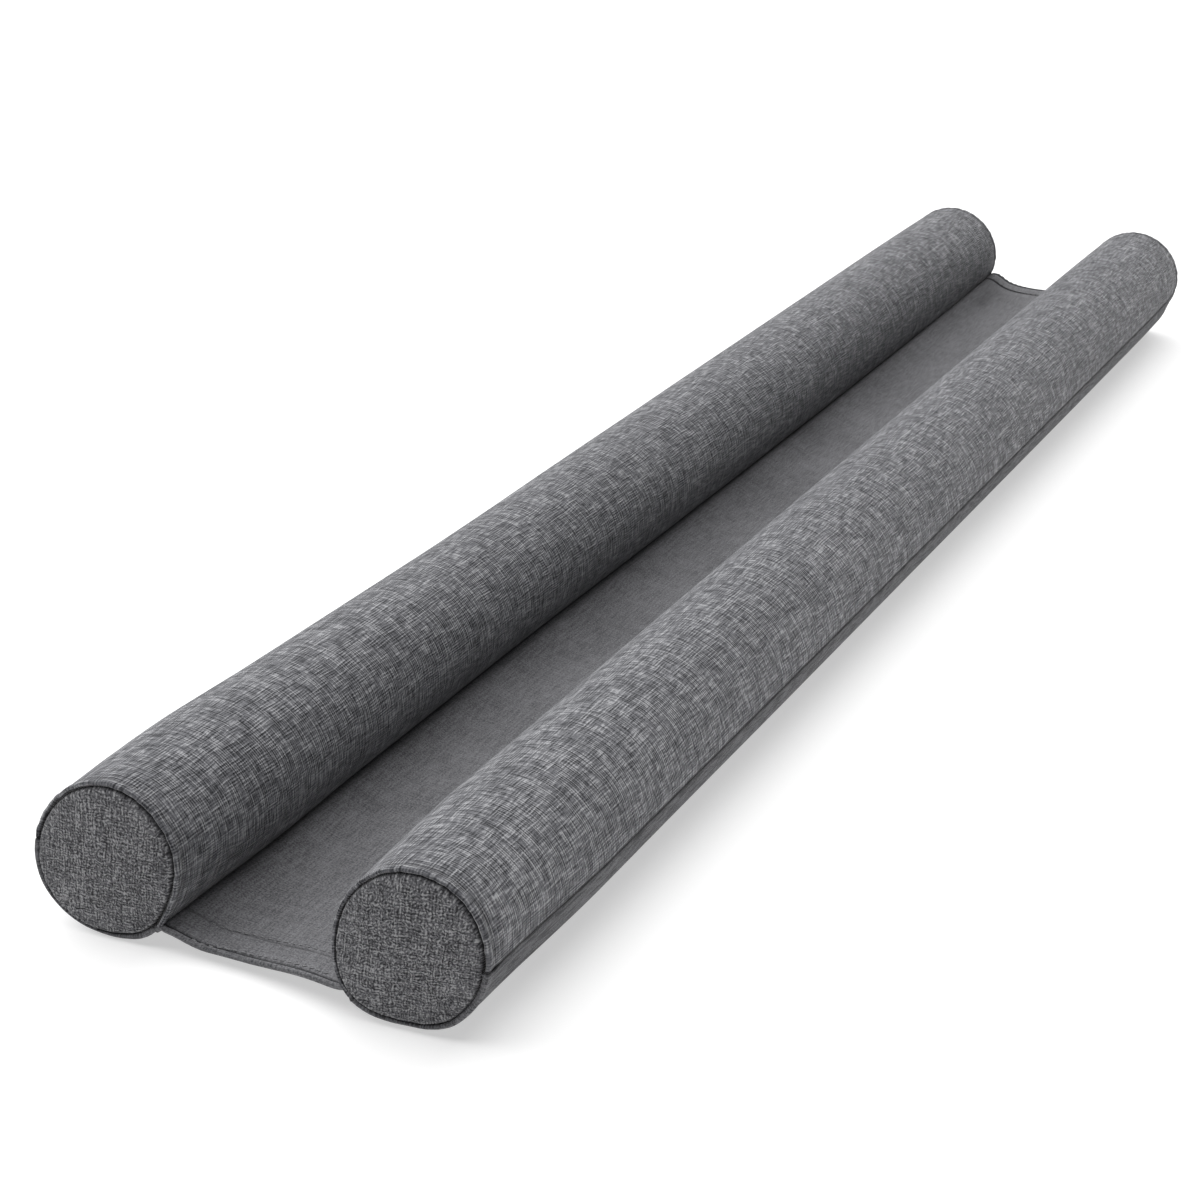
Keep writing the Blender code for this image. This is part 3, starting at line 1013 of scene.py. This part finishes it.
def make_end_panel(tube, end):
    outward = 1 if end == "far" else -1
    seed = tube.seed + (5 if end == "far" else 3)
    share, out = panel_profile()
    front = np.arange(len(share))[:, None] < PANEL_RINGS
    angles = np.linspace(*ROUND, PANEL_COLUMNS + 1)[None, :]
    gathers = gathers_round(np.radians(angles) * tube.panel, PANEL_GATHERS, seed)
    out = out + PANEL_PUCKER * gathers * ease((share - 0.72) / 0.25) * front
    sideways, up = np.cos(np.radians(angles)) * share, -np.sin(np.radians(angles)) * share
    out = out + LUMP * lumps(sideways, up, seed) * (1 - share ** 2) * front
    if end == "near":
        edge = near_ring(tube, angles, "seam") - PANEL_IN_SEAM
    else:
        edge = tube.panel - far_tuck(tube, angles, LENGTH / 2)
    points = on_tube(tube, angles, outward * (LENGTH / 2 + out), share * edge, PANEL_FLOOR)
    points[:, -1] = points[:, 0]
    # Painted shade where the panel's rim dips into the seam.
    depth = ease((share - 0.975) / 0.02)
    across = sideways * tube.panel + seed * 3 * PANEL_SPACING
    panel = lay_cloth(f"end_panel_{tube.name}_{end}", points, across, up * tube.panel, depth,
                      panel_linen)
    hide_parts(f"end_disc_{tube.name}_{end}")
    cut = 2 * tube.panel
    math.pi * tube.panel ** 2
    return panel


for tube in TUBES:
    for end in ("near", "far"):
        make_end_panel(tube, end)

# %% [markdown]
# ## The base cloth round a tube
# One plain cloth is sewn along the outer side of the left tube, passes under it, comes up between the
# tubes, and passes under the right tube to its outer seam. Round a tube it follows the cover one cloth
# further out. It is lapped thin at the outer seam, which is never quite straight, and has two soft folds
# beside it and a long crease low on the outer side.

# %% The cloth under a tube
ROLL_START = 6
WRAP_EDGE = (0, 0.0035, 0.009, 0.017, 0.028, 0.042)
WRAP_COLUMNS = 34
SCALLOP = 0.35
SCALLOP_WAVES = (6.3 * MM, 9.1 * MM, 14 * MM)
HOOK = 3.0
HOOK_REACH = 3 * MM
LAP = (0.75 * MM, 0.25 * MM)
RIDGE = 0.3 * MM
CREASE = 0.4 * MM
CREASE_ANGLE = 27
ROLL_LIMITS = (0.9 * MM, 2.7 * MM)
FAR_ROLL = 1.6 * MM


def rim_drop(y):
    """How much the rolled rim takes off the radius this near to an end."""
    roll = RIM[ROLL_START:]
    return np.interp(edge_distance(y), column(roll, "inset") * MM, column(roll, "drop") * MM)


def end_roll(tube, angle, y):
    """Thickness of the cloth rolled over a tube's end, and how far its rounded edge is drawn in."""
    near = near_ring(tube, angle, "edge") - near_ring(tube, angle, "seam") - 0.25 * MM
    full = np.where(y < 0, np.clip(near, *ROLL_LIMITS), FAR_ROLL)
    inset = edge_distance(y)
    rounded = (1 - np.clip(1 - 2 * inset / full, 0, 0.99) ** 3.5) ** 0.4
    thick = mix(full, CLOTH, ease((inset - 2.3 * MM) / (1.2 * MM))) * rounded
    return thick, full / 2 * (1 - rounded)


def wrap_shares():
    """Columns from the outer seam to the inner one, close together at the seam's edge."""
    first = np.linspace(0.06, 0.42, WRAP_COLUMNS)
    return np.concatenate([WRAP_EDGE, first, np.linspace(0.44, 1, WRAP_COLUMNS // 2)])


def crease_line(angle, y):
    """A long crease, low on the outer side."""
    wandering = CREASE_ANGLE + 3 * np.sin(math.tau * along(y) * 1.3)
    return bump(angle, wandering, 1.8) * ease(edge_distance(y) / (30 * MM))


def wrap_face(tube, share, y):
    """Points of the outer face of the cloth under one tube, and their angles."""
    scallop = ripple(y, SCALLOP_WAVES, tube.seed + 7) * SCALLOP
    hook = HOOK * bump(y, 5 * MM - LENGTH / 2, HOOK_REACH)
    start = tube.outer_seam + (scallop + hook) * np.exp(-share / 0.1)
    angle = mix(start, seam_angle(y), share)
    drawn_in = end_roll(tube, angle, y)[1] + np.maximum(rim_drop(y), 0) * ease(edge_distance(y) / (2 * MM))
    lapped = mix(*LAP, near_end(y)) * np.exp(-share / 0.07)
    folds = RIDGE * bump(angle - start, 6, 2.2) - RIDGE * 0.7 * bump(angle - start, 11, 3)
    folds = (folds - CREASE * crease_line(angle, y)) * ease(edge_distance(y) / (14 * MM))
    radius = cover_radius(tube, angle, y) + WRAP_GAP + CLOTH - drawn_in - lapped + folds
    return on_tube(tube, angle, y, radius, drawn_in), angle


print("the cloth round a tube has", len(wrap_shares()), "columns")

# %% [markdown]
# ## The strip between the tubes
# Between the tubes the cloth hangs free: low and flat at the near end, high and round at the far end. Each
# row of this table is one place across, with its height in mm at both ends. A smooth curve joins the heights
# to the seams on both sides, so the strip leaves each tube without a kink.

# %% The cloth between the tubes
Strip = namedtuple("Strip", "across near far")
STRIP = (
    Strip(0.025, 9.9, 19.0), Strip(0.060, 9.8, 19.6), Strip(0.100, 8.8, 19.0), Strip(0.150, 7.2, 17.3),
    Strip(0.210, 5.7, 15.6), Strip(0.300, 4.9, 14.4), Strip(0.420, 4.7, 13.9), Strip(0.550, 5.6, 13.9),
    Strip(0.670, 6.9, 14.2), Strip(0.770, 7.8, 14.8), Strip(0.840, 8.2, 15.8), Strip(0.895, 8.5, 17.2),
    Strip(0.940, 9.2, 18.6), Strip(0.975, 9.9, 19.4),
)
STRIP_COLUMNS = 56
HEM_SETBACK = 3.5 * MM
SETBACK_REACH = 80 * MM
NEAR_DIP = 2.3 * MM
NEAR_DIP_REACH = 45 * MM
NEAR_DIP_WIDTH = 0.42
STRIP_WAVE = 0.6 * MM


def strip_shares():
    """Columns across the strip, close together at both tubes."""
    return (0.5 - 0.5 * np.cos(np.linspace(0, math.pi, STRIP_COLUMNS)))[1:-1]


def strip_face(start, end, y):
    """Lower face of the strip, from one inner seam to the other."""
    across = strip_shares()
    knots = np.concatenate([[0], column(STRIP, "across"), [1]])
    inside = mix(column(STRIP, "near") * MM, column(STRIP, "far") * MM, rise(y))
    heights = np.concatenate([start[:, :, 2], inside, end[:, :, 2]], axis=1)
    weights = smooth_curve(across, knots, np.eye(len(knots)))
    bow = np.sin(math.pi * across)
    dip = NEAR_DIP * ease(1 - across / NEAR_DIP_WIDTH) * np.minimum(1, across / 0.04)
    z = heights @ weights.T - dip * np.exp(-from_near(y) / NEAR_DIP_REACH)
    z = z + STRIP_WAVE * np.sin(math.tau * 1.5 * along(y)) * bow
    x, flat_y = mix(start[:, :, 0], end[:, :, 0], across), mix(start[:, :, 1], end[:, :, 1], across)
    back = np.copysign(HEM_SETBACK, -y) * bow * ease(1 - edge_distance(y) / SETBACK_REACH)
    return np.stack([x, flat_y + back, z], axis=-1)


print("the strip rises from", STRIP[6].near, "to", STRIP[6].far, "mm")

# %% [markdown]
# ## The lower face of the base cloth
# The three parts are joined into one grid of points, from the left outer seam to the right one. Its rows are
# close together in the hems and even between them, because the hems have the finest form.

# %% Join the cloth's lower face
# Hem rows: inset and thickness in mm, and depth, the painted shade in the hem's grooves, 0 to 1.
Hem = namedtuple("Hem", "inset thick depth")
HEM = (
    Hem(0.0, 0.3, 0), Hem(0.18, 1.2, 0), Hem(0.4, 1.75, 0), Hem(0.75, 2.1, 0), Hem(1.15, 2.2, 0),
    Hem(1.55, 2.0, 0), Hem(1.85, 1.5, 0.45), Hem(2.1, 0.7, 1), Hem(2.4, 0.7, 1), Hem(2.75, 1.4, 0.4),
    Hem(3.4, 1.8, 0), Hem(5.0, 1.9, 0), Hem(9.5, 1.9, 0), Hem(12.2, 1.8, 0), Hem(13.1, 1.6, 0.1),
    Hem(13.8, 0.85, 0.6), Hem(14.4, 0.9, 0.3), Hem(15.5, 1.0, 0),
)
HEM_INSETS = column(HEM, "inset") * MM
HEM_LENGTH = 18 * MM
CLOTH_ROWS = 200
Lower = namedtuple("Lower", "face y in_strip left_angle right_angle")


def across_strip(values):
    """One value for each column of the cloth: those given in the strip, and 0 under the tubes."""
    wrap = np.zeros(len(wrap_shares()))
    return np.concatenate([wrap, values, wrap])


def lower_face():
    """The cloth's lower face, with its places along Y and its angles under both tubes."""
    inner = LENGTH / 2 - HEM_LENGTH
    middle = np.linspace(-inner, inner, CLOTH_ROWS)
    y = np.concatenate([HEM_INSETS - LENGTH / 2, middle, LENGTH / 2 - HEM_INSETS[::-1]])[:, None]
    left, right = TUBES
    left_face, left_angle = wrap_face(left, wrap_shares()[None, :], y)
    right_face, right_angle = (part[:, ::-1] for part in wrap_face(right, wrap_shares()[None, :], y))
    strip = strip_face(left_face[:, -1:], right_face[:, :1], y)
    in_strip = across_strip(ease(np.minimum(strip_shares(), 1 - strip_shares()) / 0.03))
    face = np.concatenate([left_face, strip, right_face], axis=1)
    return Lower(face, y, in_strip, left_angle, right_angle)


lower = lower_face()
print("the cloth's grid has", lower.face.shape[0], "rows and", lower.face.shape[1], "columns")

# %% [markdown]
# ## The thickness of the base cloth
# A Solidify modifier gives one thickness everywhere. This cloth is thicker in its hems, where it is folded
# twice, and where it is rolled over a tube's end, and its sewn sides are rounded off. So its upper face is
# worked out from the lower one, square to it, and the table gives the hem's thickness in mm at each inset.

# %% Both faces of the cloth
SETTLED = 5 * MM
SIDE_ROUND = 0.9 * MM
HEM_MIDDLE = 0.6


def inward_directions(face):
    """Directions square to the face; the hems' closest rows copy the first settled one."""
    lengthwise = np.gradient(face, axis=0)
    settled = int(np.searchsorted(HEM_INSETS, SETTLED))
    lengthwise[:settled], lengthwise[-settled:] = lengthwise[settled], lengthwise[-settled - 1]
    inward = np.cross(np.gradient(face, axis=1), lengthwise)
    return inward / np.linalg.norm(inward, axis=-1, keepdims=True)


def thickness(lower):
    """Thickness of the cloth in its hems, its rolled ends and the plain cloth between."""
    left, right = TUBES
    left_roll = end_roll(left, lower.left_angle, lower.y)[0]
    right_roll = end_roll(right, lower.right_angle, lower.y)[0]
    bridge = mix(left_roll[:, -1:], right_roll[:, :1], strip_shares())
    hem = np.interp(edge_distance(lower.y), HEM_INSETS, column(HEM, "thick") * MM)
    return mix(np.concatenate([left_roll, bridge, right_roll], axis=1), hem, lower.in_strip)


def both_faces(lower):
    """The cloth's outer and inner faces, rounded off along its two sewn sides."""
    from_left = np.linalg.norm(lower.face - lower.face[:, :1], axis=-1)
    from_right = np.linalg.norm(lower.face - lower.face[:, -1:], axis=-1)
    rounded = np.sqrt(np.clip(np.minimum(from_left, from_right) / SIDE_ROUND, 0, 1))
    thick = thickness(lower) * rounded
    inward = inward_directions(lower.face)
    hem_below = np.where(lower.in_strip > 0, HEM_MIDDLE * (thick - CLOTH), 0)
    outer = lower.face + inward * (CLOTH * (1 - rounded) * 0.5 - hem_below)[..., None]
    return outer, outer + inward * thick[..., None]


print("the hems are up to", round(float(thickness(lower).max()) * 1000, 1), "mm thick")

# %% [markdown]
# ## Painted shade on the base cloth
# Stitch lines, seams, creases and the strip's edges against the tubes lie in shadow, and that shade is
# painted into the cloth's colour; the wrapped sides get a little painted shade too. Every cloth finish turns
# nearly black where the painted shade is 1, so all that is needed is a number for each point: 0 on open
# cloth, more in a groove.

# %% Painted shade of the seams and creases
# Painted shade: a little over the wrapped sides, more in seams, creases, hem grooves, a soft fold and at the
# tubes.
WRAP_SHADE = 0.16
CREASE_SHADE = 0.75
SEAM_SHADE = 1.3
CONTACT_SHADE = 0.9
FAR_HEM_SHADE = 13.7 * MM
FOLD_SHADE = 0.4


def painted_shade_on_cloth(lower):
    """How much painted shade darkens each point of the cloth, 0 to about 1."""
    across, inset = strip_shares(), edge_distance(lower.y)
    # Painted shade in the hems' grooves, and along the far hem's inner line.
    hem = np.interp(inset, HEM_INSETS, column(HEM, "depth"))
    hem = hem + bump(lower.y, LENGTH / 2 - FAR_HEM_SHADE, 0.9 * MM)
    # Painted shade of a soft fold near the left tube, towards the far end.
    fold_shade = across_strip(bump(across, 0.17, 0.07)) * bump(lower.y, LENGTH / 2 - 50 * MM, 20 * MM)
    groove = hem * lower.in_strip + FOLD_SHADE * fold_shade
    # Painted shade where the strip meets the tubes.
    contact = across_strip(np.exp(-np.minimum(across, 1 - across) / 0.007))
    # Painted shade along the outer seam, and a little over the wrapped sides away from the ends.
    sewn = SEAM_SHADE * bump(wrap_shares(), 0, 0.0125) + WRAP_SHADE * ease(inset / (6 * MM))
    wraps = [sewn + CREASE_SHADE * crease_line(lower.left_angle, lower.y),
             sewn[:, ::-1] + CREASE_SHADE * crease_line(lower.right_angle, lower.y)]
    under_tubes = np.concatenate([wraps[0], np.zeros((len(lower.y), len(across))), wraps[1]], axis=1)
    return np.maximum(np.maximum(groove, CONTACT_SHADE * contact), under_tubes)


cloth_shade = painted_shade_on_cloth(lower)
print("the seam depth goes from", round(float(cloth_shade.min()), 2), "to", round(float(cloth_shade.max()), 2))

# %% [markdown]
# ## The base cloth as one closed skin
# The cloth is laid as a closed skin: along its lower face, over the far hem, back along its upper face and
# over the near hem. The weave map runs on in the same way, so the yarns pass round the hem without a break.

# %% Make the base cloth
HEM_ROUND = 2 * MM


def make_base_cloth(lower, cloth_shade):
    outer, inner = both_faces(lower)
    points = np.concatenate([outer, inner[::-1], outer[:1]])
    steps = np.linalg.norm(np.diff(lower.face[len(lower.y) // 2], axis=0), axis=-1)
    width = np.concatenate([[0], np.cumsum(steps)])[None, :]
    turned = 2 * lower.y.max() + HEM_ROUND - lower.y[::-1]
    places = np.concatenate([lower.y, turned, turned[-1:] + HEM_ROUND])
    depth = np.concatenate([cloth_shade, cloth_shade[::-1], cloth_shade[:1]])
    cloth = lay_cloth("base_cloth_sewn", points, width, places, depth, plain)
    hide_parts("base_cloth")
    print("base cloth is", round(float(width.max()), 4), "m wide")
    return cloth


base_cloth = make_base_cloth(lower, cloth_shade)

# %% [markdown]
# ## Sewing thread
# Thread is two strands twisted together, which shows as slanting light and dark bands. A wave across the
# bead gives the bands, and a little noise keeps them from looking printed. It reads Object coordinates,
# because the beads have no weave map of their own.

# %% Thread finish
TWIST = 0.45 * MM
TWIST_SLANT = (0.8, 1.3)
FUZZ = MM / 0.9
THREAD_DEPTH = 0.06 * MM


def thread_finish():
    """Twisted grey thread, a little lighter than the cloth."""
    finish = Finish("sewing_thread")
    spot = finish.node("ShaderNodeTexCoord", None, None, "Object")
    across = finish.node("ShaderNodeSeparateXYZ", None, {0: spot}, "X")
    lengthwise = finish.node("ShaderNodeSeparateXYZ", None, {0: spot}, "Y")
    slant = across * TWIST_SLANT[0] + lengthwise * TWIST_SLANT[1]
    twist = (slant * (math.tau / TWIST)).wave()
    tone = twist * 0.3 + (finish.noise(across / FUZZ, lengthwise / FUZZ, 1.0) - 0.5) * 0.8 + 0.5
    grey = finish.blend(tone.ramp(0.0, 1.0), colour(0.1, 0.1, 0.106), colour(0.31, 0.31, 0.32))
    finish.feed(finish.shader.inputs["Base Color"], grey)
    finish.relief(twist * 0.5 + 0.5, THREAD_DEPTH)
    finish.shader.inputs["Roughness"].default_value = 0.7
    return finish.material


thread = thread_finish()
print("thread nodes:", len(thread.node_tree.nodes))

# %% [markdown]
# ## The hem stitches
# Two rows of machine stitches hold each hem: one close behind the rolled edge and one where the turned-in
# cloth ends. One stitch is modelled as a short soft bead of thread, and the row is that bead repeated
# along the cloth, each copy laid on the real surface and dipping into it at both ends.

# %% Stitch the hems
STITCH = 2.3 * MM
STITCH_STEP = 3.1 * MM
STITCH_ROWS = (2.25 * MM, 13.8 * MM)
STITCH_LIFT = 0.1 * MM
STITCH_WANDER = 0.08 * MM
STITCH_TURN = 0.1
SEWN_WIDTH = (-27 * MM, 28 * MM)
STRIP_HALF = 34 * MM
THREAD_ROUND = 0.28 * MM
ABOVE = 60 * MM


def surface_point(shape, x, y):
    """Where a ray straight down meets the cloth."""
    return shape.ray_cast(Vector((x, y, ABOVE)), Vector((0, 0, -1)), ABOVE)[0]


def lay_stitch(start, end, turn):
    """One bead of thread from start to end, turned a little off its line."""
    bpy.ops.mesh.primitive_uv_sphere_add(segments=6, ring_count=5, radius=1)
    bead = bpy.context.object
    run = end - start
    tilt = run.to_track_quat("X", "Z") @ Matrix.Rotation(turn, 3, "Z").to_quaternion()
    middle = Matrix.Translation((start + end) / 2 + Vector((0, 0, STITCH_LIFT)))
    size = Matrix.Diagonal((run.length * 0.5, THREAD_ROUND, THREAD_ROUND, 1))
    bead.data.transform(middle @ tilt.to_matrix().to_4x4() @ size)
    return bead


def sew_hem(end):
    """Every stitch of one hem as one piece."""
    sign = 1 if end == "far" else -1
    shape = BVHTree.FromObject(base_cloth, bpy.context.evaluated_depsgraph_get())
    dice = np.random.default_rng(41 + sign)
    beads = []
    for inset in STITCH_ROWS:
        for x in np.arange(*SEWN_WIDTH, STITCH_STEP):
            bow = HEM_SETBACK * math.sin(math.pi * (x + STRIP_HALF) / (2 * STRIP_HALF))
            y = sign * (LENGTH / 2 - inset - bow) + dice.normal(0, STITCH_WANDER)
            spots = [surface_point(shape, x + side * STITCH / 2, y) for side in (-1, 1)]
            if None not in spots:
                beads.append(lay_stitch(*spots, dice.normal(0, STITCH_TURN)))
    bpy.ops.object.select_all(action="DESELECT")
    for bead in beads:
        bead.select_set(True)
    bpy.context.view_layer.objects.active = beads[0]
    bpy.ops.object.join()
    stitches = bpy.context.object
    stitches.name = stitches.data.name = f"hem_stitches_{end}"
    stitches.data.shade_smooth()
    stitches.data.materials.append(thread)
    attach(stitches, "root")
    print(stitches.name, "has", len(beads), "stitches")
    return stitches


stitches = [sew_hem(end) for end in ("near", "far")]

# %% [markdown]
